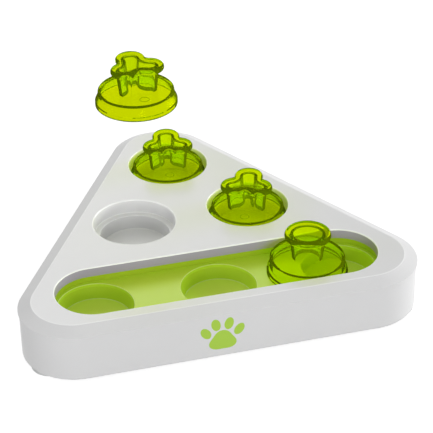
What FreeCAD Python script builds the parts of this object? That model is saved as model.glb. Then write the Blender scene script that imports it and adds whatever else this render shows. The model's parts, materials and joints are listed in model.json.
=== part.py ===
import FreeCAD, Part
import Sketcher
import math
import os

# Treat board for cats: a rounded triangular board with three lidded wells along its back
# and a track along its front, in which a fourth lid slides over three cups.
# Millimetres. The origin is on the floor under the middle of the board, +X runs along the
# front edge to the right, +Y to the back and +Z up.

DIMENSIONS = {
    # board outline, seen from above
    "board_width": 228.0,
    "corner_radius": 31.2,
    # top cover
    "cover_lip": 0.9,
    "chamfer_width": 7.4,
    "chamfer_rise": 3.7,
    "deck_wall": 2.2,
    "rim_bevel": 0.4,
    # base shell
    "base_height": 27.5,
    "base_inset": 0.6,
    "base_wall": 2.2,
    "base_floor": 2.2,
    "base_edge_round": 1.2,
    # lidded wells
    "well_margin": 39.35,
    "well_stagger": 1.73,
    "well_radius": 24.0,
    "well_wall": 1.8,
    "ledge_depth": 8.7,
    "ledge_width": 3.5,
    "well_cup_depth": 8.6,
    "well_cup_taper": 1.1,
    # track slot and the tray under it
    "slot_land": 14.3,
    "slot_radius": 22.2,
    "slot_lip_depth": 5.9,
    "slot_lip_wall": 2.0,
    "channel_undercut": 1.2,
    "channel_depth": 10.4,
    "tray_wall": 2.0,
    "tray_end_gap": 1.98,
    "tray_ear_radius": 5.4,
    "tray_cup_land": 2.0,
    "tray_cup_depth": 9.1,
    "tray_cup_taper": 1.8,
    # lids
    "lid_height": 8.6,
    "lid_wall": 1.8,
    "lid_edge_round": 1.0,
    "lid_shoulder": 2.6,
    "flange_height": 2.2,
    "flange_width": 1.7,
    "lid_clearance": 0.9,
    "slider_clearance": 0.35,
    "seat_gap": 0.2,
    "lid_lift": 87.0,
    "lift_drift": 4.6,
    "slider_standoff": 18.5,
    # knobs
    "knob_height": 12.2,
    "knob_thickness": 3.8,
    "knob_round": 1.7,
    "neck_base_inset": 4.4,
    "neck_top_inset": 2.9,
    "lobe_reach": 8.0,
    "lobe_radius": 8.3,
    "lobe_waist": 9.9,
    "round_knob_radius": 13.1,
    "lid_left_turn": 97.0,
    "lid_back_turn": 82.0,
    "lid_right_turn": 67.5,
    # feet
    "foot_radius": 11.0,
    "foot_height": 1.6,
    "foot_offset": 19.2,
    "foot_dish_radius": 8.4,
    "foot_dish_depth": 0.7,
    # fasteners
    "boss_radius": 3.8,
    "boss_gap": 0.4,
    "boss_split_height": 24.0,
    "socket_depth": 2.0,
    "socket_wall": 1.3,
    "socket_gap": 0.15,
    "cover_screw_radius": 1.5,
    "cover_screw_grip": 3.0,
    "cover_screw_length": 9.0,
    "cover_screw_head_radius": 2.8,
    "cover_screw_head_height": 1.8,
    "tray_screw_radius": 1.2,
    "tray_screw_length": 7.5,
    "tray_screw_head_radius": 2.2,
    "tray_screw_head_height": 1.4,
    "screw_gap": 0.05,
    "head_gap": 0.4,
    "recess_width": 0.6,
}

THIRD_TURN = 120.0
SIN_60 = math.sqrt(3) / 2
FLAT = 1e-6
SAME_HEIGHT = 1e-4
NEAR = 0.1
TURN_DECIMALS = 12


class Size:
    """A length that knows both its spreadsheet formula and its present value."""

    def __init__(self, formula, value):
        self.formula = formula
        self.value = value

    def combine(self, sign, other, value):
        return Size("(%s %s %s)" % (self.formula, sign, formula_of(other)), value)

    def __add__(self, other):
        return self.combine("+", other, self.value + number(other))

    def __sub__(self, other):
        return self.combine("-", other, self.value - number(other))

    def __mul__(self, other):
        return self.combine("*", other, self.value * number(other))

    def __truediv__(self, other):
        return self.combine("/", other, self.value / number(other))

    def __neg__(self):
        return Size("(0 - %s)" % self.formula, -self.value)

    def root(self):
        return Size("sqrt(%s)" % self.formula, math.sqrt(self.value))


def number(quantity):
    return quantity.value if isinstance(quantity, Size) else float(quantity)


def formula_of(quantity):
    return quantity.formula if isinstance(quantity, Size) else repr(float(quantity))


class Sizes:
    """Every driving dimension as an attribute, such as sizes.board_width."""

    def __init__(self, dimensions):
        for name, value in dimensions.items():
            setattr(self, name, Size("sizes." + name, value))


def write_sheet(doc):
    sheet = doc.addObject("Spreadsheet::Sheet", "sizes")
    for row, (name, value) in enumerate(DIMENSIONS.items(), start=1):
        sheet.set("A%d" % row, name)
        sheet.set("B%d" % row, str(value))
        sheet.setAlias("B%d" % row, name)
    doc.recompute()


def bind(item, place, quantity):
    """Sets a property, or a part of one, from a size."""
    if isinstance(quantity, Size):
        item.setExpression(place, quantity.formula)


# sketches

def start_sketch(body, name, plane, offset=(0, 0, 0)):
    """An empty sketch on one of the body's own planes, moved by offset in the plane's own axes."""
    sketch = body.newObject("Sketcher::SketchObject", name)
    role = plane + "_Plane"
    support = [feature for feature in body.Origin.OriginFeatures if feature.Role == role][0]
    sketch.AttachmentSupport = [(support, "")]
    sketch.MapMode = "FlatFace"
    sketch.AttachmentOffset = FreeCAD.Placement(
        FreeCAD.Vector(*[number(value) for value in offset]), FreeCAD.Rotation())
    for axis, value in zip("xyz", offset):
        bind(sketch, "AttachmentOffset.Base." + axis, value)
    return sketch


def constrain(sketch, quantity, kind, *ends):
    """A constraint whose last value is a size."""
    index = sketch.addConstraint(Sketcher.Constraint(kind, *ends, number(quantity)))
    bind(sketch, "Constraints[%d]" % index, quantity)


def pin(sketch, geometry, point, x, y):
    """Holds one point of a sketch line or arc at x, y."""
    for quantity, distance, level in ((x, "DistanceX", "Vertical"), (y, "DistanceY", "Horizontal")):
        if abs(number(quantity)) < FLAT:
            sketch.addConstraint(Sketcher.Constraint(level, -1, 1, geometry, point))
        else:
            constrain(sketch, quantity, distance, -1, 1, geometry, point)


def vector(x, y):
    return FreeCAD.Vector(number(x), number(y), 0)


def draw_polygon(sketch, corners):
    """A closed outline of straight lines with every corner held."""
    count = len(corners)
    for index, (x, y) in enumerate(corners):
        following = corners[(index + 1) % count]
        sketch.addGeometry(Part.LineSegment(vector(x, y), vector(*following)), False)
    for index, (x, y) in enumerate(corners):
        sketch.addConstraint(Sketcher.Constraint("Coincident", index, 2, (index + 1) % count, 1))
        pin(sketch, index, 1, x, y)


def draw_circles(sketch, radius, centres):
    """Equal circles, the first of which carries the radius."""
    for index, (x, y) in enumerate(centres):
        sketch.addGeometry(Part.Circle(vector(x, y), FreeCAD.Vector(0, 0, 1), number(radius)), False)
        pin(sketch, index, 3, x, y)
        if index == 0:
            constrain(sketch, radius, "Radius", index)
        else:
            sketch.addConstraint(Sketcher.Constraint("Equal", 0, index))


class Bend:
    """One arc of a smooth outline: outer arcs turn left, hollow arcs turn right."""

    def __init__(self, x, y, radius, start, end, hollow=False):
        self.x = x
        self.y = y
        self.radius = radius
        self.start = start
        self.end = end
        self.hollow = hollow
        self.entry_point = 2 if hollow else 1
        self.exit_point = 1 if hollow else 2

    def at(self, angle):
        turn = math.radians(angle)
        reach = number(self.radius)
        return vector(self.x, self.y) + FreeCAD.Vector(reach * math.cos(turn), reach * math.sin(turn), 0)

    def entry(self):
        return self.at(self.end if self.hollow else self.start)

    def exit(self):
        return self.at(self.start if self.hollow else self.end)

    def curve(self):
        circle = Part.Circle(vector(self.x, self.y), FreeCAD.Vector(0, 0, 1), number(self.radius))
        return Part.ArcOfCircle(circle, math.radians(self.start), math.radians(self.end))


def draw_bends(sketch, bends):
    """A smooth closed outline of arcs, with a tangent line wherever two of them don't meet."""
    for bend in bends:
        sketch.addGeometry(bend.curve(), False)
    for index, bend in enumerate(bends):
        other = (index + 1) % len(bends)
        target = bends[other]
        if (bend.exit() - target.entry()).Length < FLAT:
            sketch.addConstraint(Sketcher.Constraint(
                "Tangent", index, bend.exit_point, other, target.entry_point))
            continue
        line = sketch.addGeometry(Part.LineSegment(bend.exit(), target.entry()), False)
        sketch.addConstraint(Sketcher.Constraint("Tangent", index, bend.exit_point, line, 1))
        sketch.addConstraint(Sketcher.Constraint("Tangent", line, 2, other, target.entry_point))
    for index, bend in enumerate(bends):
        constrain(sketch, bend.radius, "Radius", index)
        if not bend.hollow:
            pin(sketch, index, 3, bend.x, bend.y)


# outlines

def board_corners(sizes):
    """Centres of the three corner rounds: right, back and left."""
    half_side = sizes.board_width / 2 - sizes.corner_radius
    half_rise = half_side * SIN_60
    return [(half_side, -half_rise), (0, half_rise), (-half_side, -half_rise)]


def draw_board(sketch, sizes, inset):
    """The rounded triangle of the board, moved in on all sides."""
    radius = sizes.corner_radius - inset
    bends = [Bend(x, y, radius, turn, turn + THIRD_TURN)
             for (x, y), turn in zip(board_corners(sizes), (-90.0, 30.0, 150.0))]
    draw_bends(sketch, bends)


def draw_slot(sketch, layout, radius):
    """A slot with round ends along the front of the board."""
    draw_bends(sketch, [Bend(layout.slot_reach, layout.slot_rear, radius, -90.0, 90.0),
                        Bend(-layout.slot_reach, layout.slot_rear, radius, 90.0, 270.0)])


def draw_trefoil(sketch, sizes, inset):
    """Three round lobes joined by hollow arcs, moved in on all sides."""
    reach = sizes.lobe_reach
    lobe = sizes.lobe_radius
    waist = sizes.lobe_waist
    hollow = ((lobe * lobe - waist * waist + reach * waist - reach * reach)
              / (waist * 2 - reach - lobe * 2))
    apart = waist + hollow
    swing = math.degrees(math.atan2(number(apart) * SIN_60, number(apart) / 2 - number(reach)))
    bends = []
    for index in range(3):
        turn = index * THIRD_TURN
        along = math.radians(turn)
        between = math.radians(turn + THIRD_TURN / 2)
        inward = turn + THIRD_TURN / 2 + 180.0
        bends.append(Bend(reach * math.cos(along), reach * math.sin(along), lobe - inset,
                          turn - swing, turn + swing))
        bends.append(Bend(apart * math.cos(between), apart * math.sin(between), hollow + inset,
                          inward - swing + THIRD_TURN / 2, inward + swing - THIRD_TURN / 2,
                          hollow=True))
    draw_bends(sketch, bends)


def draw_round(sketch, sizes, inset):
    draw_circles(sketch, sizes.round_knob_radius - inset, [(0, 0)])


# features of a body

def start_body(doc, label, position=(0, 0, 0), turn=0.0):
    body = doc.addObject("PartDesign::Body", label)
    body.Label = label
    rotation = FreeCAD.Rotation(FreeCAD.Vector(0, 0, 1), number(turn))
    body.Placement = FreeCAD.Placement(FreeCAD.Vector(*[number(value) for value in position]), rotation)
    for axis, value in zip("xyz", position):
        bind(body, "Placement.Base." + axis, value)
    bind(body, "Placement.Rotation.Angle", turn)
    return body


def pad(body, name, sketch, length):
    feature = body.newObject("PartDesign::Pad", name)
    feature.Profile = sketch
    feature.Length = number(length)
    bind(feature, "Length", length)
    return feature


def pocket(body, name, sketch, length, upward=False):
    """Cuts down from the sketch, or up from it."""
    feature = body.newObject("PartDesign::Pocket", name)
    feature.Profile = sketch
    feature.Length = number(length)
    bind(feature, "Length", length)
    feature.Reversed = upward
    return feature


def loft(body, name, first, last, cut=False):
    kind = "PartDesign::SubtractiveLoft" if cut else "PartDesign::AdditiveLoft"
    feature = body.newObject(kind, name)
    feature.Profile = first
    feature.Sections = [last]
    feature.Ruled = True
    return feature


def turned(body, name, sketch, cut=False):
    """Turns a profile once about the sketch's own upright axis."""
    kind = "PartDesign::Groove" if cut else "PartDesign::Revolution"
    feature = body.newObject(kind, name)
    feature.Profile = sketch
    feature.ReferenceAxis = (sketch, ["V_Axis"])
    feature.Angle = 360.0
    return feature


def blend_edges(body, kind, name, place, quantity, chosen):
    """Rounds or bevels the edges of the body's last feature that the test chooses."""
    body.Document.recompute()
    base = body.Tip
    names = ["Edge%d" % (index + 1) for index, edge in enumerate(base.Shape.Edges) if chosen(edge)]
    feature = body.newObject(kind, name)
    feature.Base = (base, names)
    setattr(feature, place, number(quantity))
    bind(feature, place, quantity)
    return feature


def fillet(body, name, radius, chosen):
    return blend_edges(body, "PartDesign::Fillet", name, "Radius", radius, chosen)


def lies_flat_at(edge, height):
    """True for an edge that runs level at the given height."""
    box = edge.BoundBox
    return abs(box.ZMin - number(height)) < SAME_HEIGHT and abs(box.ZMax - number(height)) < SAME_HEIGHT


def reach_of(edge, x=0.0, y=0.0):
    """Least distance from an upright line at x, y to the points of an edge."""
    return min(math.hypot(point.x - number(x), point.y - number(y)) for point in edge.discretize(7))


# heights and places

class Layout:
    """Heights above the floor and places in plan that several pieces share."""

    def __init__(self, sizes):
        self.base_bottom = sizes.foot_height
        self.base_floor_top = sizes.foot_height + sizes.base_floor
        self.seam = sizes.foot_height + sizes.base_height
        self.lip_top = self.seam + sizes.cover_lip
        self.deck_top = self.lip_top + sizes.chamfer_rise
        self.deck_under = self.deck_top - sizes.deck_wall
        self.deck_middle = self.deck_top - sizes.deck_wall / 2
        self.ledge = self.deck_top - sizes.ledge_depth
        self.well_floor = self.ledge - sizes.well_cup_depth
        self.slot_lip_foot = self.deck_top - sizes.slot_lip_depth
        self.channel_floor = self.deck_top - sizes.channel_depth
        self.tray_under = self.channel_floor - sizes.tray_wall
        self.tray_cup_floor = self.channel_floor - sizes.tray_cup_depth

        self.post_radius = sizes.boss_radius + sizes.socket_gap + sizes.socket_wall
        self.channel_radius = sizes.slot_radius + sizes.channel_undercut
        self.tray_radius = self.channel_radius + sizes.tray_wall
        self.tray_cup_radius = self.channel_radius - sizes.tray_cup_land
        self.foot_centres = self.place_feet(sizes)
        front_edge = board_corners(sizes)[0][1] - sizes.corner_radius
        self.slot_rear = front_edge + sizes.slot_land + sizes.slot_radius
        self.slot_reach = self.reach_slot(sizes)
        self.cup_centres = {"left": (-self.slot_reach, self.slot_rear),
                            "middle": (0, self.slot_rear),
                            "right": (self.slot_reach, self.slot_rear)}
        self.tray_screw_centres = self.place_tray_screws(sizes)
        self.well_centres = self.place_wells(sizes)

    def place_feet(self, sizes):
        """One foot on the bisector of each corner, with a cover screw above it."""
        places = []
        for (x, y), turn in zip(board_corners(sizes), (-30.0, 90.0, 210.0)):
            along = math.radians(turn)
            places.append((sizes.foot_offset * round(math.cos(along), TURN_DECIMALS) + x,
                           sizes.foot_offset * round(math.sin(along), TURN_DECIMALS) + y))
        return places

    def reach_slot(self, sizes):
        """How far the slot's round ends stand from the middle, with the tray clear of the corner posts."""
        post_x, post_y = self.foot_centres[0]
        apart = self.tray_radius + self.post_radius + sizes.tray_end_gap
        step = post_y - self.slot_rear
        return post_x - (apart * apart - step * step).root()

    def place_tray_screws(self, sizes):
        """One ear behind the channel and one past each of its ends."""
        out = self.tray_radius + sizes.boss_gap + sizes.boss_radius
        return [(0, self.slot_rear + out), (self.slot_reach + out, self.slot_rear),
                (-self.slot_reach - out, self.slot_rear)]

    def place_wells(self, sizes):
        """Axes of the wells: at the corners of a triangle, all as far from the board's slanted sides."""
        corner_x, corner_y = board_corners(sizes)[0]
        middle = corner_y / 3
        inner = corner_x / (2 * SIN_60) + sizes.corner_radius
        back = (inner - sizes.well_margin) * 2 + middle
        spacing = (back - self.slot_rear) / (2 * SIN_60) - sizes.well_stagger
        front = back - spacing * SIN_60
        return {"left": (-spacing / 2, front), "back": (0, back), "right": (spacing / 2, front)}


# top cover

def make_top_cover(doc, sizes, layout):
    body = start_body(doc, "top_cover")

    edge = start_sketch(body, "cover_edge", "XY", (0, 0, layout.seam))
    draw_board(edge, sizes, 0)
    pad(body, "cover_edge_band", edge, sizes.cover_lip)

    chamfer_foot = start_sketch(body, "chamfer_foot", "XY", (0, 0, layout.lip_top))
    draw_board(chamfer_foot, sizes, 0)
    deck_edge = start_sketch(body, "deck_edge", "XY", (0, 0, layout.deck_top))
    draw_board(deck_edge, sizes, sizes.chamfer_width)
    loft(body, "chamfered_deck", chamfer_foot, deck_edge)

    hollow_mouth = start_sketch(body, "hollow_mouth", "XY", (0, 0, layout.seam))
    draw_board(hollow_mouth, sizes, sizes.base_inset + sizes.base_wall)
    hollow_roof = start_sketch(body, "hollow_roof", "XY", (0, 0, layout.deck_under))
    draw_board(hollow_roof, sizes, sizes.chamfer_width + sizes.deck_wall)
    loft(body, "hollow_under_deck", hollow_mouth, hollow_roof, cut=True)

    mouths = start_sketch(body, "well_mouths", "XY", (0, 0, layout.deck_top))
    draw_circles(mouths, sizes.well_radius, list(layout.well_centres.values()))
    pocket(body, "well_openings", mouths, sizes.deck_wall)
    add_slot(body, sizes, layout)
    add_cover_bosses(body, sizes, layout)
    blend_edges(body, "PartDesign::Chamfer", "bevelled_rims", "Size", sizes.rim_bevel,
                lambda edge: lies_flat_at(edge, layout.deck_top) and is_opening_edge(edge, sizes, layout))
    return body


def is_opening_edge(edge, sizes, layout):
    """True for the mouths of the wells and of the slot, not for the edge of the deck."""
    middle = edge.valueAt((edge.FirstParameter + edge.LastParameter) / 2)
    for x, y in layout.well_centres.values():
        if reach_of(edge, x, y) < number(sizes.well_radius) + NEAR:
            return True
    inside_ends = abs(middle.x) < number(layout.slot_reach + sizes.slot_radius) + NEAR
    from_middle = abs(middle.y - number(layout.slot_rear))
    return inside_ends and from_middle < number(sizes.slot_radius) + NEAR


def add_slot(body, sizes, layout):
    """The long slot and the lip round it that keeps the sliding lid in its channel."""
    lip = start_sketch(body, "slot_lip_outline", "XY", (0, 0, layout.slot_lip_foot))
    draw_slot(lip, layout, sizes.slot_radius + sizes.slot_lip_wall)
    pad(body, "slot_lip", lip, sizes.slot_lip_depth - sizes.deck_wall / 2)
    opening = start_sketch(body, "slot_outline", "XY", (0, 0, layout.deck_top))
    draw_slot(opening, layout, sizes.slot_radius)
    pocket(body, "slot", opening, sizes.slot_lip_depth)


def add_cover_bosses(body, sizes, layout):
    """Posts under the deck that the screws bite into."""
    posts = (("cover_boss", sizes.boss_split_height, layout.foot_centres,
              sizes.cover_screw_radius, sizes.cover_screw_length - sizes.cover_screw_grip),
             ("tray_boss", layout.channel_floor, layout.tray_screw_centres,
              sizes.tray_screw_radius, sizes.tray_screw_length - sizes.tray_wall))
    for name, foot, places, hole_radius, grip in posts:
        outline = start_sketch(body, name + "_outline", "XY", (0, 0, foot))
        draw_circles(outline, sizes.boss_radius, places)
        pad(body, name, outline, layout.deck_middle - foot)
        hole = start_sketch(body, name + "_hole_outline", "XY", (0, 0, foot))
        draw_circles(hole, hole_radius + sizes.screw_gap, places)
        pocket(body, name + "_hole", hole, grip + sizes.head_gap, upward=True)


# wells

def make_wells(doc, sizes, layout):
    """Three stepped wells under the deck: a bore for the lid, a ledge for it and a cup for treats."""
    wall = sizes.well_wall
    cup_radius = sizes.well_radius - sizes.ledge_width
    floor_radius = cup_radius - sizes.well_cup_taper
    wells = []
    for side, (x, y) in layout.well_centres.items():
        body = start_body(doc, "well_" + side, (x, y, 0))
        outside = start_sketch(body, "well_outside", "XZ")
        draw_polygon(outside, [
            (0, layout.well_floor - wall),
            (floor_radius + wall, layout.well_floor - wall),
            (cup_radius + wall, layout.ledge - wall),
            (sizes.well_radius + wall, layout.ledge - wall),
            (sizes.well_radius + wall, layout.deck_under),
            (0, layout.deck_under)])
        turned(body, "well_shell", outside)
        inside = start_sketch(body, "well_inside", "XZ")
        draw_polygon(inside, [
            (0, layout.well_floor),
            (floor_radius, layout.well_floor),
            (cup_radius, layout.ledge),
            (sizes.well_radius, layout.ledge),
            (sizes.well_radius, layout.deck_top),
            (0, layout.deck_top)])
        turned(body, "well_hollow", inside, cut=True)
        wells.append(body)
    return wells


# base shell

def make_base_shell(doc, sizes, layout):
    body = start_body(doc, "base_shell")
    bottom = start_sketch(body, "base_outline", "XY", (0, 0, layout.base_bottom))
    draw_board(bottom, sizes, sizes.base_inset)
    pad(body, "base_block", bottom, sizes.base_height)
    fillet(body, "rounded_bottom", sizes.base_edge_round,
           lambda edge: lies_flat_at(edge, layout.base_bottom))

    floor = start_sketch(body, "base_hollow_outline", "XY", (0, 0, layout.base_floor_top))
    draw_board(floor, sizes, sizes.base_inset + sizes.base_wall)
    pocket(body, "base_hollow", floor, sizes.base_height - sizes.base_floor, upward=True)

    add_base_bosses(body, sizes, layout)
    return body


def add_base_bosses(body, sizes, layout):
    """Posts at the corners: a socket on top for the cover's post, a deep counterbore below."""
    places = layout.foot_centres
    posts = start_sketch(body, "base_boss_outline", "XY", (0, 0, layout.base_bottom))
    draw_circles(posts, layout.post_radius, places)
    pad(body, "base_boss", posts, sizes.boss_split_height + sizes.socket_depth - layout.base_bottom)
    socket = start_sketch(body, "socket_outline", "XY", (0, 0, sizes.boss_split_height))
    draw_circles(socket, sizes.boss_radius + sizes.socket_gap, places)
    pocket(body, "socket", socket, sizes.socket_depth, upward=True)
    counterbore = start_sketch(body, "counterbore_outline", "XY", (0, 0, layout.base_bottom))
    draw_circles(counterbore, sizes.cover_screw_head_radius + sizes.head_gap / 2, places)
    head_seat = sizes.boss_split_height - sizes.cover_screw_grip
    pocket(body, "counterbore", counterbore, head_seat - layout.base_bottom, upward=True)
    hole = start_sketch(body, "base_hole_outline", "XY", (0, 0, head_seat))
    draw_circles(hole, sizes.cover_screw_radius + sizes.head_gap / 4, places)
    pocket(body, "base_hole", hole, sizes.cover_screw_grip, upward=True)


# track

def make_track_frame(doc, sizes, layout):
    """The green wall of the channel, held between the cover's lip and the tray."""
    body = start_body(doc, "track_frame")
    outside = start_sketch(body, "frame_outline", "XY", (0, 0, layout.channel_floor))
    draw_slot(outside, layout, layout.tray_radius)
    pad(body, "frame_block", outside, layout.slot_lip_foot - layout.channel_floor)
    channel = start_sketch(body, "channel_outline", "XY", (0, 0, layout.channel_floor))
    draw_slot(channel, layout, layout.channel_radius)
    pocket(body, "channel", channel, layout.slot_lip_foot - layout.channel_floor, upward=True)
    return body


def make_track_tray(doc, sizes, layout):
    """The channel's floor, with a hole over each cup and an ear at each screw."""
    body = start_body(doc, "track_tray")
    outside = start_sketch(body, "tray_outline", "XY", (0, 0, layout.tray_under))
    draw_slot(outside, layout, layout.tray_radius)
    pad(body, "tray_plate", outside, sizes.tray_wall)
    ears = start_sketch(body, "ear_outline", "XY", (0, 0, layout.tray_under))
    draw_circles(ears, sizes.tray_ear_radius, layout.tray_screw_centres)
    pad(body, "ears", ears, sizes.tray_wall)
    holes = start_sketch(body, "cup_hole_outline", "XY", (0, 0, layout.tray_under))
    draw_circles(holes, layout.tray_cup_radius, list(layout.cup_centres.values()))
    pocket(body, "cup_holes", holes, sizes.tray_wall, upward=True)
    screw_holes = start_sketch(body, "ear_hole_outline", "XY", (0, 0, layout.tray_under))
    draw_circles(screw_holes, sizes.tray_screw_radius + sizes.head_gap / 4, layout.tray_screw_centres)
    pocket(body, "ear_holes", screw_holes, sizes.tray_wall, upward=True)
    return body


def make_track_cups(doc, sizes, layout):
    """Three tapered cups under the tray's holes."""
    wall = sizes.tray_wall
    floor_radius = layout.tray_cup_radius - sizes.tray_cup_taper
    cups = []
    for side, (x, y) in layout.cup_centres.items():
        body = start_body(doc, "track_cup_" + side, (x, y, 0))
        outside = start_sketch(body, "cup_outside", "XZ")
        draw_polygon(outside, [
            (0, layout.tray_cup_floor - wall),
            (floor_radius + wall, layout.tray_cup_floor - wall),
            (layout.tray_cup_radius + wall, layout.tray_under),
            (0, layout.tray_under)])
        turned(body, "cup_shell", outside)
        inside = start_sketch(body, "cup_inside", "XZ")
        draw_polygon(inside, [
            (0, layout.tray_cup_floor),
            (floor_radius, layout.tray_cup_floor),
            (layout.tray_cup_radius, layout.tray_under),
            (layout.tray_cup_radius, layout.channel_floor),
            (0, layout.channel_floor)])
        turned(body, "cup_hollow", inside, cut=True)
        cups.append(body)
    return cups


# lids

def make_lid(doc, sizes, label, draw_knob, height, flange_radius, shoulder, position, turn):
    """A flanged cap, open below, with a hollow knob that flares into an overhanging head."""
    body = start_body(doc, label, position, turn)
    disc_radius = flange_radius - sizes.flange_width
    neck_top = height + sizes.knob_height
    head_top = neck_top + sizes.knob_thickness

    head = start_sketch(body, "head_outline", "XY", (0, 0, neck_top))
    draw_knob(head, sizes, 0)
    pad(body, "head", head, sizes.knob_thickness)
    fillet(body, "rounded_head", sizes.knob_round,
           lambda edge: lies_flat_at(edge, neck_top) or lies_flat_at(edge, head_top))

    neck_low = start_sketch(body, "neck_low_outline", "XY", (0, 0, height - sizes.lid_wall / 2))
    draw_knob(neck_low, sizes, sizes.neck_base_inset)
    neck_high = start_sketch(body, "neck_high_outline", "XY", (0, 0, neck_top + sizes.knob_thickness / 2))
    draw_knob(neck_high, sizes, sizes.neck_top_inset)
    loft(body, "neck", neck_low, neck_high)

    cap = start_sketch(body, "cap_outline", "XZ")
    draw_polygon(cap, [
        (0, 0),
        (flange_radius, 0),
        (flange_radius, sizes.flange_height),
        (disc_radius, height - shoulder),
        (disc_radius, height),
        (0, height)])
    turned(body, "cap", cap)
    fillet(body, "rounded_disc_edge", sizes.lid_edge_round,
           lambda edge: lies_flat_at(edge, height) and reach_of(edge) > number(disc_radius) - NEAR)

    wall = sizes.lid_wall
    inside = start_sketch(body, "cap_inside_outline", "XZ")
    draw_polygon(inside, [
        (0, -wall),
        (flange_radius - wall, -wall),
        (flange_radius - wall, sizes.flange_height - wall / 4),
        (disc_radius - wall, height - shoulder - wall / 4),
        (disc_radius - wall, height - wall),
        (0, height - wall)])
    turned(body, "cap_hollow", inside, cut=True)

    bore_low = start_sketch(body, "knob_bore_low", "XY", (0, 0, height - wall * 1.5))
    draw_knob(bore_low, sizes, sizes.neck_base_inset + wall)
    bore_high = start_sketch(body, "knob_bore_high", "XY", (0, 0, head_top - wall))
    draw_knob(bore_high, sizes, sizes.neck_top_inset + wall)
    loft(body, "knob_bore", bore_low, bore_high, cut=True)
    return body


def make_lids(doc, sizes, layout):
    lids = []
    flange = sizes.well_radius - sizes.lid_clearance
    seat = layout.ledge + sizes.seat_gap
    turns = {"left": sizes.lid_left_turn, "back": sizes.lid_back_turn, "right": sizes.lid_right_turn}
    for side, (x, y) in layout.well_centres.items():
        spot = (x + sizes.lift_drift, y, seat + sizes.lid_lift) if side == "left" else (x, y, seat)
        lids.append(make_lid(doc, sizes, "lid_" + side, draw_trefoil, sizes.lid_height, flange,
                             sizes.lid_shoulder, spot, turns[side]))
    slider_height = sizes.channel_depth - sizes.seat_gap
    slider_flange = layout.channel_radius - sizes.slider_clearance
    slider_shoulder = sizes.slot_lip_depth + sizes.seat_gap
    lids.append(make_lid(doc, sizes, "track_lid", draw_round, slider_height, slider_flange,
                         slider_shoulder, (layout.slot_reach - sizes.slider_standoff, layout.slot_rear,
                                           layout.channel_floor + sizes.seat_gap), 0.0))
    return lids


# feet

def make_feet(doc, sizes, layout):
    """Non-slip discs, slightly dished below, each over the mouth of a counterbore."""
    feet = []
    for side, (x, y) in zip(("right", "back", "left"), layout.foot_centres):
        body = start_body(doc, "foot_" + side, (x, y, 0))
        profile = start_sketch(body, "foot_profile", "XZ")
        draw_polygon(profile, [
            (0, sizes.foot_dish_depth),
            (sizes.foot_dish_radius, sizes.foot_dish_depth),
            (sizes.foot_dish_radius + sizes.foot_dish_depth, 0),
            (sizes.foot_radius, 0),
            (sizes.foot_radius, sizes.foot_height),
            (0, sizes.foot_height)])
        turned(body, "foot", profile)
        feet.append(body)
    return feet


# screws

def place(item, x, y, z):
    item.Placement.Base = FreeCAD.Vector(number(x), number(y), number(z))
    for axis, value in zip("xyz", (x, y, z)):
        bind(item, "Placement.Base." + axis, value)


def make_screw(doc, name, x, y, seat, radius, length, head_radius, head_height, recess):
    """A pan-headed screw that points up, its head under the seat, with a cross recess."""
    shank = doc.addObject("Part::Cylinder", name + "_shank")
    bind(shank, "Radius", radius)
    bind(shank, "Height", length)
    place(shank, x, y, seat)
    head = doc.addObject("Part::Cylinder", name + "_head")
    bind(head, "Radius", head_radius)
    bind(head, "Height", head_height)
    place(head, x, y, seat - head_height)
    blank = doc.addObject("Part::Fuse", name + "_blank")
    blank.Base = shank
    blank.Tool = head
    arms = []
    for suffix, long_side, short_side in (("along", "Length", "Width"), ("across", "Width", "Length")):
        arm = doc.addObject("Part::Box", name + "_recess_" + suffix)
        bind(arm, long_side, head_radius * 1.2)
        bind(arm, short_side, recess)
        bind(arm, "Height", head_height)
        half_x = head_radius * 0.6 if long_side == "Length" else recess / 2
        half_y = recess / 2 if long_side == "Length" else head_radius * 0.6
        place(arm, -half_x + x, -half_y + y, seat - head_height * 1.5)
        arms.append(arm)
    cross = doc.addObject("Part::Fuse", name + "_recess")
    cross.Base = arms[0]
    cross.Tool = arms[1]
    screw = doc.addObject("Part::Cut", name)
    screw.Base = blank
    screw.Tool = cross
    return screw


def make_screws(doc, sizes, layout):
    """Two sets of screws: up through the base into the cover, and up through the tray's ears."""
    sets = (("cover_screws", layout.foot_centres, sizes.boss_split_height - sizes.cover_screw_grip,
             sizes.cover_screw_radius, sizes.cover_screw_length, sizes.cover_screw_head_radius,
             sizes.cover_screw_head_height),
            ("tray_screws", layout.tray_screw_centres, layout.tray_under,
             sizes.tray_screw_radius, sizes.tray_screw_length, sizes.tray_screw_head_radius,
             sizes.tray_screw_head_height))
    groups = []
    for label, places, seat, radius, length, head_radius, head_height in sets:
        screws = []
        for index, (x, y) in enumerate(places):
            screws.append(make_screw(doc, "%s_%d" % (label, index + 1), x, y, seat, radius, length,
                                     head_radius, head_height, sizes.recess_width))
        group = doc.addObject("Part::Compound", label)
        group.Label = label
        group.Links = screws
        groups.append(group)
    return groups


# checks and export

def check(doc, parts):
    for item in doc.Objects:
        if "Invalid" in item.State or "Error" in item.State:
            raise RuntimeError("%s did not build: %s" % (item.Name, item.State))
    for part in parts:
        shape = part.Shape
        if shape.isNull() or not shape.isValid() or not shape.Solids:
            raise RuntimeError("%s has no valid solid" % part.Label)
        box = shape.BoundBox
        print("%-14s solids %d  volume %9.1f  x %.1f..%.1f  y %.1f..%.1f  z %.1f..%.1f" % (
            part.Label, len(shape.Solids), shape.Volume, box.XMin, box.XMax, box.YMin, box.YMax,
            box.ZMin, box.ZMax))


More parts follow.
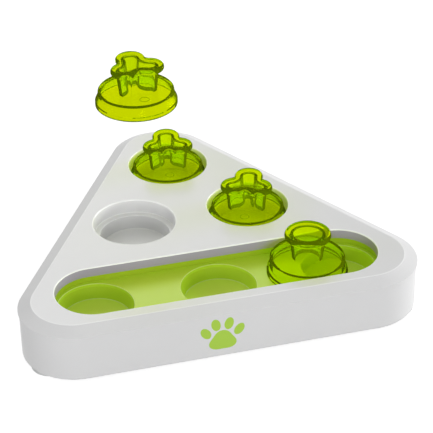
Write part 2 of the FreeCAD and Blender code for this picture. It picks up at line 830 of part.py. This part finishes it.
def main():
    doc = FreeCAD.newDocument("treat_board")
    write_sheet(doc)
    sizes = Sizes(DIMENSIONS)
    layout = Layout(sizes)
    parts = [make_top_cover(doc, sizes, layout), make_base_shell(doc, sizes, layout),
             make_track_frame(doc, sizes, layout), make_track_tray(doc, sizes, layout)]
    parts += make_wells(doc, sizes, layout)
    parts += make_track_cups(doc, sizes, layout)
    parts += make_lids(doc, sizes, layout)
    parts += make_feet(doc, sizes, layout)
    parts += make_screws(doc, sizes, layout)
    doc.recompute()
    check(doc, parts)
    os.makedirs("parts", exist_ok=True)
    for part in parts:
        part.Shape.exportStep("parts/%s.step" % part.Label)


main()
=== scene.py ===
import json
import math

import bmesh
import bpy
from mathutils import Euler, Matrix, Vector

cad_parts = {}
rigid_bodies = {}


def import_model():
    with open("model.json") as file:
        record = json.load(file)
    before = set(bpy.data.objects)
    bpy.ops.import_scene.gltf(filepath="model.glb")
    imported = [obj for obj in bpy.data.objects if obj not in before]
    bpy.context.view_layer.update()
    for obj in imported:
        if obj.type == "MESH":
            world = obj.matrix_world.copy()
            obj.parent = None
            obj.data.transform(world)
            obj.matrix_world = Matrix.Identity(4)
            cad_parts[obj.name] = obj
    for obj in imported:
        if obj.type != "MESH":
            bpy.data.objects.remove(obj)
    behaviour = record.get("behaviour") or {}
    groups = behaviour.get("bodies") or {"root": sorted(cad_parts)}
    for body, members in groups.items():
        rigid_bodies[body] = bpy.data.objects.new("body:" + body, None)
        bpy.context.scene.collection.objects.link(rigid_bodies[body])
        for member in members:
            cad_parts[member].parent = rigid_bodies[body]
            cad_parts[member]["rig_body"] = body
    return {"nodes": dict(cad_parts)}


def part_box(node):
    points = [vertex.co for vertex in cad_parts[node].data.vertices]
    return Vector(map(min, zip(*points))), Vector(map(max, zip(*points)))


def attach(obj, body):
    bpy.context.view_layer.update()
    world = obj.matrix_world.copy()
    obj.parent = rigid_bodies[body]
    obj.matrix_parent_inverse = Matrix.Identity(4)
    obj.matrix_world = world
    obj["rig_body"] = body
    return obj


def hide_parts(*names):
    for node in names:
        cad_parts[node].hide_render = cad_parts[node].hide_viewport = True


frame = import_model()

# A treat board for cats: a white triangular board with lidded wells and a green track.
# Metres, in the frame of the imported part: +X along the front edge, +Y to the back, +Z up.

MM = 0.001

# camera: side and focal length of the photograph in pixels, sensor in millimetres, turn in degrees
PHOTO_SIDE = 433
PHOTO_FOCAL = 1658.2
SENSOR = 36.0
CAMERA_PLACE = (-0.19012, -0.80687, 0.55487)
CAMERA_TURN = (57.5655, 0.8542, -14.8952)
CAMERA_NEAR = 0.05

# light: name, place, diameter and watts of each lamp
WORLD_LEVEL = 0.4
LAMPS = (("right", (2.0, 0.3, 0.35), 1.0, 29.0),
         ("front", (0.0, -2.0, 0.4), 1.0, 21.5),
         ("left", (-2.0, 0.0, 0.4), 1.0, 6.6),
         ("back", (0.0, 1.5, 1.3), 1.2, 9.3))

# floor: tone that takes the shadow, glow that shows it white
FLOOR_RADIUS = 6.0
FLOOR_SIDES = 96
FLOOR_TONE = 0.30
FLOOR_GLOW = 0.88
FLOOR_ROUGHNESS = 0.9

# noise, in features per metre
CLOUD_SCALE = 35.0
POLISH_SCALE = 160.0
TEXTURE_SCALE = 2600.0
CLEAR_CLOUD_SCALE = 60.0
CLEAR_POLISH_SCALE = 90.0
STEEL_CLOUD_SCALE = 900.0
STEEL_POLISH_SCALE = 1500.0
NOISE_DETAIL = 3.0
TEXTURE_DETAIL = 2.0
NOISE_ROUGHNESS = 0.55

# opaque plastics: two tones, roughness and strength of the grain
PLASTICS = {
    "white_gloss_plastic": ((0.74, 0.74, 0.745), (0.78, 0.78, 0.78), 0.32, 0.05),
    # the wells' walls take a darker copy of the white plastic as painted shade, and their level faces a
    # paler one as painted light
    "white_well_painted_shade": ((0.72, 0.72, 0.73), (0.76, 0.76, 0.77), 0.32, 0.05),
    "white_well_painted_light": ((0.90, 0.90, 0.90), (0.93, 0.93, 0.93), 0.32, 0.05),
    # the rounded edges of the white parts take a paler copy of the white plastic as a painted highlight
    "white_painted_highlight": ((0.93, 0.93, 0.93), (0.96, 0.96, 0.96), 0.25, 0.02),
    # the slot's walls are the white cover plastic, painted a dark grey violet as painted shade
    "slot_wall_painted_shade": ((0.38, 0.33, 0.47), (0.42, 0.37, 0.51), 0.35, 0.05),
    "lime_plastic": ((0.60, 0.83, 0.04), (0.64, 0.86, 0.05), 0.38, 0.05),
    # the rounded edges of the lime parts take a paler copy of the lime plastic as a painted highlight
    "lime_painted_highlight": ((0.72, 0.90, 0.22), (0.76, 0.93, 0.25), 0.30, 0.02),
    # the channel's walls are the same lime plastic, painted darker as painted shade
    "lime_frame_painted_shade": ((0.42, 0.57, 0.02), (0.45, 0.60, 0.025), 0.38, 0.05),
    # the cups' walls take a darker copy of the lime plastic as painted shade, and their floors a much paler
    # one as painted light
    "lime_cup_painted_shade": ((0.54, 0.75, 0.03), (0.58, 0.78, 0.04), 0.38, 0.05),
    "lime_cup_painted_light": ((0.77, 0.98, 0.10), (0.80, 1.0, 0.12), 0.38, 0.05),
    "foot_rubber": ((0.62, 0.63, 0.63), (0.68, 0.69, 0.69), 0.55, 0.1),
    "lime_ink": ((0.40, 0.63, 0.055), (0.42, 0.66, 0.065), 0.45, 0.02),
}
POLISH_SPREAD = (-0.04, 0.05)
TEXTURE_DEPTH = 0.1 * MM

# clear plastic: its tones face on and edge on, where the dark edge-on tone is a painted shade for the
# outlines that refraction gives, what a millimetre of it lets through, the tint of the light that falls
# through it, and the haze in it
PLASTIC_IOR = 1.49
CLEAR_TONES = ((0.96, 0.995, 0.0), (0.98, 1.0, 0.0))
CLEAR_EDGE_PAINTED_SHADE = (0.01, 0.06, 0.0)
CLEAR_THROUGH = (0.955, 0.985, 0.0)
CLEAR_VEIL = (0.99, 1.0, 0.94)
CLEAR_HAZE = (0.72, 1.0, 0.0)
HAZE_SHARE = 0.09
SHINE_SHARE = 0.08
CLEAR_POLISH = 0.04
# where the painted edge shade begins and where it is full, in Layer Weight facing
EDGE_STARTS = 0.72
EDGE_ENDS = 0.96
BEHIND_CLEAR = 0.48

# steel
STEEL_TONES = ((0.52, 0.52, 0.54), (0.66, 0.66, 0.67))
STEEL_POLISH = (0.28, 0.42)

# what each imported node that is seen as it is gets
# the track frame takes the darker lime, a painted shade
FINISHES = {"base_shell": "white_gloss_plastic", "track_frame": "lime_frame_painted_shade",
            "lid_left": "clear_lime_plastic", "lid_back": "clear_lime_plastic",
            "lid_right": "clear_lime_plastic", "track_lid": "clear_lime_plastic",
            "foot_left": "foot_rubber", "foot_back": "foot_rubber", "foot_right": "foot_rubber",
            "cover_screws": "screw_steel", "tray_screws": "screw_steel"}

# rounded edges: which count as one point, one plane, one level and sharp, and where shading breaks
SAME_POINT = 1e-7
SAME_PLANE = math.radians(0.1)
SAME_LEVEL = 1e-5
LEVEL_DECIMALS = 6
LEVEL_MARGIN = 1.0 * MM
SHARP = math.radians(25.0)
KEEP_SHARP = math.radians(40.0)
RIM_WIDTH = 0.35 * MM
RIM_STEPS = 4
# material slot of the rounded faces, which take a paler copy of the plastic as a painted highlight
PAINTED_HIGHLIGHT_SLOT = 1

# faces: the upward part of the normal of level ones and of walls, and the depth of the deck's rims
FACES_UP = 0.95
FACES_ASIDE = 0.3
DECK_BAND = 0.6 * MM

# printed mark on the front: places and half sizes of its ovals in millimetres, turns in degrees
MARK_CENTRE = (-7.5 * MM, 16.8 * MM)
MARK_FILM = 0.05 * MM
MARK_POINTS = 72
TOE_PLACES = ((-3.7, 6.3, 12.0), (3.7, 6.3, -12.0), (-9.4, 1.6, 32.0), (9.4, 1.6, -32.0))
TOE_SIZE = (2.6, 3.9)
PALM_CENTRE = (0.0, -4.6)
PALM_SIZE = (7.4, 6.2)
PALM_LOBE = 0.13

# ejector mark on the disc of a well lid: place from its axis, on the side away from the knob's back
# lobe, whose direction is the lid's turn in degrees
LID_HEIGHT = 8.6 * MM
LID_TURNS = {"left": 97.0, "back": 82.0, "right": 67.5}
EJECTOR_REACH = 14.0 * MM
EJECTOR_RADIUS = 2.5 * MM
EJECTOR_BEAD = 0.3 * MM
EJECTOR_POINTS = 48
BEAD_POINTS = 8

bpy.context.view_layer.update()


# shader nodes

def start_material(name):
    """A new material and its Principled shader."""
    material = bpy.data.materials.new(name)
    material.use_nodes = True
    tree = material.node_tree
    return material, tree, tree.nodes["Principled BSDF"]


def add_node(tree, kind, **settings):
    """A node whose named inputs are set; names that start with a capital are inputs."""
    node = tree.nodes.new(kind)
    for name, value in settings.items():
        if name[0].isupper():
            node.inputs[name.replace("_", " ")].default_value = value
        else:
            setattr(node, name, value)
    return node


def grain(tree, scale, detail=NOISE_DETAIL):
    """Noise in object space, in features per metre."""
    place = add_node(tree, "ShaderNodeTexCoord")
    noise = add_node(tree, "ShaderNodeTexNoise", Scale=scale, Detail=detail, Roughness=NOISE_ROUGHNESS)
    tree.links.new(place.outputs["Object"], noise.inputs["Vector"])
    return noise.outputs["Fac"]


def spread(tree, source, low, high):
    """Maps a 0 to 1 value to a range."""
    mapped = add_node(tree, "ShaderNodeMapRange", To_Min=low, To_Max=high)
    tree.links.new(source, mapped.inputs["Value"])
    return mapped.outputs["Result"]


def larger(tree, first, second):
    """The larger of two values."""
    either = add_node(tree, "ShaderNodeMath", operation="MAXIMUM")
    tree.links.new(first, either.inputs[0])
    tree.links.new(second, either.inputs[1])
    return either.outputs["Value"]


def blend_colours(tree, source, first, second):
    """Goes from the first colour to the second with a 0 to 1 value."""
    mix = add_node(tree, "ShaderNodeMix", data_type="RGBA")
    mix.inputs[6].default_value = (*first, 1.0)
    mix.inputs[7].default_value = (*second, 1.0)
    tree.links.new(source, mix.inputs[0])
    return mix.outputs[2]


def blend_shaders(tree, share, first, second):
    """Shows the second shader by a share, which is a number or a socket."""
    mix = add_node(tree, "ShaderNodeMixShader")
    if isinstance(share, float):
        mix.inputs[0].default_value = share
    else:
        tree.links.new(share, mix.inputs[0])
    tree.links.new(first.outputs[0], mix.inputs[1])
    tree.links.new(second.outputs[0], mix.inputs[2])
    return mix


def lights_what_is_behind(tree):
    """1 for rays from the lamps, and for soft light on its way to what lies behind clear plastic."""
    path = add_node(tree, "ShaderNodeLightPath")
    return larger(tree, path.outputs["Is Shadow Ray"], path.outputs["Is Diffuse Ray"])


def sees_background(tree):
    """1 for rays straight from the camera or a reflection, and less through clear plastic."""
    path = add_node(tree, "ShaderNodeLightPath")
    direct = larger(tree, path.outputs["Is Camera Ray"], path.outputs["Is Glossy Ray"])
    share = add_node(tree, "ShaderNodeMix", data_type="FLOAT")
    tree.links.new(path.outputs["Is Transmission Ray"], share.inputs[0])
    tree.links.new(direct, share.inputs[2])
    share.inputs[3].default_value = BEHIND_CLEAR
    return share.outputs[0]


# materials

def moulded_plastic(name, first, second, gloss, texture):
    """Injection-moulded plastic: a faint cloud of tone, a fine spark-eroded grain and a soft gloss."""
    material, tree, shader = start_material(name)
    tone = blend_colours(tree, grain(tree, CLOUD_SCALE), first, second)
    tree.links.new(tone, shader.inputs["Base Color"])
    smoothest, roughest = (gloss + change for change in POLISH_SPREAD)
    polish = spread(tree, grain(tree, POLISH_SCALE), smoothest, roughest)
    tree.links.new(polish, shader.inputs["Roughness"])
    bump = add_node(tree, "ShaderNodeBump", Strength=texture, Distance=TEXTURE_DEPTH)
    tree.links.new(grain(tree, TEXTURE_SCALE, TEXTURE_DETAIL), bump.inputs["Height"])
    tree.links.new(bump.outputs["Normal"], shader.inputs["Normal"])
    return material


def clear_plastic(name):
    """Transparent coloured plastic, painted dark where it is seen edge on as a painted shade for the
    outlines that refraction gives, with a little haze in it.
    """
    material, tree, _ = start_material(name)
    links = tree.links
    polish = spread(tree, grain(tree, CLEAR_POLISH_SCALE), 0.0, CLEAR_POLISH)
    # painted shade: the colour turns dark green where the surface is seen edge on
    facing = add_node(tree, "ShaderNodeLayerWeight", Blend=0.5)
    edge = add_node(tree, "ShaderNodeMapRange", From_Min=EDGE_STARTS, From_Max=EDGE_ENDS)
    links.new(facing.outputs["Facing"], edge.inputs["Value"])
    tone = add_node(tree, "ShaderNodeMix", data_type="RGBA")
    links.new(edge.outputs["Result"], tone.inputs[0])
    links.new(blend_colours(tree, grain(tree, CLEAR_CLOUD_SCALE), *CLEAR_TONES), tone.inputs[6])
    tone.inputs[7].default_value = (*CLEAR_EDGE_PAINTED_SHADE, 1.0)
    bend = add_node(tree, "ShaderNodeBsdfRefraction", IOR=PLASTIC_IOR)
    gloss = add_node(tree, "ShaderNodeBsdfAnisotropic")
    for shader in (bend, gloss):
        links.new(tone.outputs[2], shader.inputs["Color"])
        links.new(polish, shader.inputs["Roughness"])
    fresnel = add_node(tree, "ShaderNodeFresnel", IOR=PLASTIC_IOR)
    shine = spread(tree, fresnel.outputs["Fac"], 0.0, SHINE_SHARE)
    haze = add_node(tree, "ShaderNodeBsdfDiffuse", Color=(*CLEAR_HAZE, 1.0))
    body = blend_shaders(tree, HAZE_SHARE, blend_shaders(tree, shine, bend, gloss), haze)
    veil = add_node(tree, "ShaderNodeBsdfTransparent", Color=(*CLEAR_VEIL, 1.0))
    seen = blend_shaders(tree, lights_what_is_behind(tree), body, veil)
    inside = add_node(tree, "ShaderNodeVolumeAbsorption", Color=(*CLEAR_THROUGH, 1.0), Density=1.0 / MM)
    output = tree.nodes["Material Output"]
    links.new(seen.outputs[0], output.inputs["Surface"])
    links.new(inside.outputs["Volume"], output.inputs["Volume"])
    return material


def brushed_steel(name):
    """Plain screw steel with a fine scatter of tone and polish."""
    material, tree, shader = start_material(name)
    tone = blend_colours(tree, grain(tree, STEEL_CLOUD_SCALE), *STEEL_TONES)
    tree.links.new(tone, shader.inputs["Base Color"])
    shader.inputs["Metallic"].default_value = 1.0
    tree.links.new(spread(tree, grain(tree, STEEL_POLISH_SCALE), *STEEL_POLISH), shader.inputs["Roughness"])
    return material


# meshes

def add_piece(name, shape, material, body):
    """Turns a bmesh into a piece that rides on a body, with smooth faces between its sharp edges."""
    mesh = bpy.data.meshes.new(name)
    shape.to_mesh(mesh)
    shape.free()
    if "custom_normal" in mesh.attributes:
        mesh.attributes.remove(mesh.attributes["custom_normal"])
    mesh.materials.append(material)
    mesh.shade_smooth()
    mesh.set_sharp_from_angle(angle=KEEP_SHARP)
    piece = bpy.data.objects.new(name, mesh)
    bpy.context.scene.collection.objects.link(piece)
    even = piece.modifiers.new("even_normals", "WEIGHTED_NORMAL")
    even.keep_sharp = True
    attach(piece, body)
    return piece


def rounded_copy(node, name, chosen, material, painted_highlight):
    """A piece with a node's shape, whose chosen sharp edges are rounded and take a paler material as a
    painted highlight.
    """
    source = frame["nodes"][node]
    shape = bmesh.new()
    shape.from_mesh(source.data)
    bmesh.ops.remove_doubles(shape, verts=shape.verts, dist=SAME_POINT)
    bmesh.ops.dissolve_limit(shape, angle_limit=SAME_PLANE, verts=shape.verts, edges=shape.edges)
    edges = [edge for edge in shape.edges
             if edge.is_manifold and edge.calc_face_angle() > SHARP and chosen(edge)]
    rounded = bmesh.ops.bevel(shape, geom=edges, offset=RIM_WIDTH, segments=RIM_STEPS, profile=0.5,
                              affect="EDGES", clamp_overlap=True)
    for face in rounded["faces"]:
        face.material_index = PAINTED_HIGHLIGHT_SLOT
    piece = add_piece(name, shape, material, source["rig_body"])
    piece.data.materials.append(painted_highlight)
    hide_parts(node)
    return piece


def paint_faces(piece, material, chosen):
    """Gives some faces of a piece another material, but not its rims."""
    piece.data.materials.append(material)
    place = len(piece.data.materials) - 1
    for face in piece.data.polygons:
        if chosen(face) and face.material_index != PAINTED_HIGHLIGHT_SLOT:
            face.material_index = place


def dress(node, material):
    """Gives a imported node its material."""
    item = frame["nodes"][node]
    item.data.materials.clear()
    item.data.materials.append(material)


def level_edge(edge, height):
    """True for an edge that runs level at a height."""
    return all(abs(vert.co.z - height) < SAME_LEVEL for vert in edge.verts)


def faces_up(face):
    """True for a level face seen from above."""
    return face.normal.z > FACES_UP


# camera, light and floor

def add_camera():
    """The photograph's camera, as fitted to it."""
    data = bpy.data.cameras.new("camera")
    data.sensor_width = SENSOR
    data.lens = PHOTO_FOCAL / PHOTO_SIDE * SENSOR
    data.clip_start = CAMERA_NEAR
    camera = bpy.data.objects.new("camera", data)
    camera.location = CAMERA_PLACE
    camera.rotation_euler = Euler([math.radians(angle) for angle in CAMERA_TURN])
    bpy.context.scene.collection.objects.link(camera)
    bpy.context.scene.camera = camera


def add_lamp(name, place, size, power):
    """A soft round lamp that faces the middle of the board."""
    data = bpy.data.lights.new(name, "AREA")
    data.shape = "DISK"
    data.size = size
    data.energy = power
    lamp = bpy.data.objects.new(name, data)
    lamp.location = place
    lamp.rotation_euler = (-Vector(place)).to_track_quat("-Z", "Y").to_euler()
    bpy.context.scene.collection.objects.link(lamp)


def add_world():
    """Soft light from all round, and the white background."""
    world = bpy.data.worlds.new("studio")
    bpy.context.scene.world = world
    world.use_nodes = True
    tree = world.node_tree
    background = tree.nodes["Background"]
    background.inputs["Color"].default_value = (1.0, 1.0, 1.0, 1.0)
    strength = spread(tree, sees_background(tree), WORLD_LEVEL, 1.0)
    tree.links.new(strength, background.inputs["Strength"])


def add_floor():
    """A wide round floor that shows white and keeps the board's shadow."""
    mesh = bpy.data.meshes.new("floor")
    shape = bmesh.new()
    bmesh.ops.create_circle(shape, cap_ends=True, segments=FLOOR_SIDES, radius=FLOOR_RADIUS)
    shape.to_mesh(mesh)
    shape.free()
    floor = bpy.data.objects.new("floor", mesh)
    bpy.context.scene.collection.objects.link(floor)
    material, tree, shader = start_material("floor_white")
    shader.inputs["Base Color"].default_value = (FLOOR_TONE, FLOOR_TONE, FLOOR_TONE, 1.0)
    shader.inputs["Roughness"].default_value = FLOOR_ROUGHNESS
    shader.inputs["Specular IOR Level"].default_value = 0.0
    shader.inputs["Emission Color"].default_value = (1.0, 1.0, 1.0, 1.0)
    glow = spread(tree, sees_background(tree), 0.0, FLOOR_GLOW)
    tree.links.new(glow, shader.inputs["Emission Strength"])
    mesh.materials.append(material)


# the board

def add_cover(white, painted_highlight, slot_shade):
    """The cover with rounded edges round its deck and openings, whose rounded faces carry a painted
    highlight, and a painted shade in dark grey violet on the walls of its slot.
    """
    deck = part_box("top_cover")[1][2]
    cover = rounded_copy("top_cover", "moulded_cover",
                         lambda edge: all(vert.co.z > deck - DECK_BAND for vert in edge.verts),
                         white, painted_highlight)
    low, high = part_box("track_frame")

    def in_slot_shade(face):
        inside = low[0] < face.center.x < high[0] and low[1] < face.center.y < high[1]
        return inside and abs(face.normal.z) < FACES_ASIDE

    # painted shade: the slot's walls take the dark grey violet
    paint_faces(cover, slot_shade, in_slot_shade)


def add_hollow(node, name, painted_shade_wall, floor, painted_highlight):
    """A well or cup with rounded inner edges, whose walls get a darker copy of its plastic as painted shade
    and whose level faces get a paler copy as painted light.
    """
    low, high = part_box(node)
    levels = {round(face.center.z, LEVEL_DECIMALS)
              for face in frame["nodes"][node].data.polygons if faces_up(face)}
    inner = sorted(height for height in levels if low[2] + LEVEL_MARGIN < height < high[2] - LEVEL_MARGIN)
    hollow = rounded_copy(node, name, lambda edge: any(level_edge(edge, height) for height in inner),
                          painted_shade_wall, painted_highlight)
    # painted light: the level faces take the paler copy of the plastic
    paint_faces(hollow, floor, faces_up)


def add_tray(lime, painted_highlight):
    """The channel's floor, with rounded edges round its holes that carry a painted highlight."""
    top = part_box("track_tray")[1][2]
    rounded_copy("track_tray", "moulded_tray", lambda edge: level_edge(edge, top), lime, painted_highlight)


def oval(centre, size, turn=0.0, lobe=0.0):
    """A closed outline round a centre, with three soft lobes where lobe isn't 0. Millimetres."""
    lean = math.radians(turn)
    outline = []
    for index in range(MARK_POINTS):
        angle = 2 * math.pi * index / MARK_POINTS
        reach = 1 + lobe * math.cos(3 * (angle - math.pi / 2))
        x = size[0] * reach * math.cos(angle)
        y = size[1] * reach * math.sin(angle)
        outline.append((centre[0] + x * math.cos(lean) - y * math.sin(lean),
                        centre[1] + x * math.sin(lean) + y * math.cos(lean)))
    return outline


def add_mark(ink):
    """A plain paw, printed on the front of the base as a thin film that is half sunk in it."""
    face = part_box("base_shell")[0][1]
    outlines = [oval(PALM_CENTRE, PALM_SIZE, lobe=PALM_LOBE)]
    outlines += [oval((x, y), TOE_SIZE, turn) for x, y, turn in TOE_PLACES]
    shape = bmesh.new()
    for outline in outlines:
        back, front = ([shape.verts.new((MARK_CENTRE[0] + x * MM, depth, MARK_CENTRE[1] + y * MM))
                        for x, y in outline] for depth in (face + MARK_FILM, face - MARK_FILM))
        shape.faces.new(back)
        shape.faces.new(front)
        for index in range(MARK_POINTS):
            shape.faces.new((back[index - 1], back[index], front[index], front[index - 1]))
    bmesh.ops.recalc_face_normals(shape, faces=shape.faces)
    piece = add_piece("printed_paw", shape, ink, "board")


def add_ejector_mark(side, clear):
    """A low ring on a lid's disc, as an ejector pin leaves it."""
    low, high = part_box("lid_" + side)
    lean = math.radians(LID_TURNS[side] + 180)
    centre = Vector(((low[0] + high[0]) / 2 + EJECTOR_REACH * math.cos(lean),
                     (low[1] + high[1]) / 2 + EJECTOR_REACH * math.sin(lean), low[2] + LID_HEIGHT))
    shape = bmesh.new()
    rings = []
    for index in range(EJECTOR_POINTS):
        around = 2 * math.pi * index / EJECTOR_POINTS
        ring = []
        for step in range(BEAD_POINTS):
            across = 2 * math.pi * step / BEAD_POINTS
            reach = EJECTOR_RADIUS + EJECTOR_BEAD * math.cos(across)
            offset = Vector((reach * math.cos(around), reach * math.sin(around),
                             EJECTOR_BEAD / 2 * math.sin(across)))
            ring.append(shape.verts.new(centre + offset))
        rings.append(ring)
    for index, ring in enumerate(rings):
        following = rings[(index + 1) % EJECTOR_POINTS]
        for step in range(BEAD_POINTS):
            after = (step + 1) % BEAD_POINTS
            shape.faces.new((ring[step], following[step], following[after], ring[after]))
    bmesh.ops.recalc_face_normals(shape, faces=shape.faces)
    piece = add_piece("ejector_mark_" + side, shape, clear, side + "_lid")


def main():
    """Builds the set, the materials and the board."""
    bpy.context.scene.view_settings.view_transform = "Standard"
    add_camera()
    add_world()
    for lamp in LAMPS:
        add_lamp(*lamp)
    add_floor()

    finish = {name: moulded_plastic(name, *look) for name, look in PLASTICS.items()}
    finish["clear_lime_plastic"] = clear_plastic("clear_lime_plastic")
    finish["screw_steel"] = brushed_steel("screw_steel")

    add_cover(finish["white_gloss_plastic"], finish["white_painted_highlight"], finish["slot_wall_painted_shade"])
    for side in ("left", "back", "right"):
        add_hollow("well_" + side, "moulded_well_" + side,
                   finish["white_well_painted_shade"], finish["white_well_painted_light"], finish["white_painted_highlight"])
    for side in ("left", "middle", "right"):
        add_hollow("track_cup_" + side, "moulded_cup_" + side,
                   finish["lime_cup_painted_shade"], finish["lime_cup_painted_light"], finish["lime_painted_highlight"])
    add_tray(finish["lime_plastic"], finish["lime_painted_highlight"])
    add_mark(finish["lime_ink"])
    for side in LID_TURNS:
        add_ejector_mark(side, finish["clear_lime_plastic"])
    for node, name in FINISHES.items():
        dress(node, finish[name])


main()
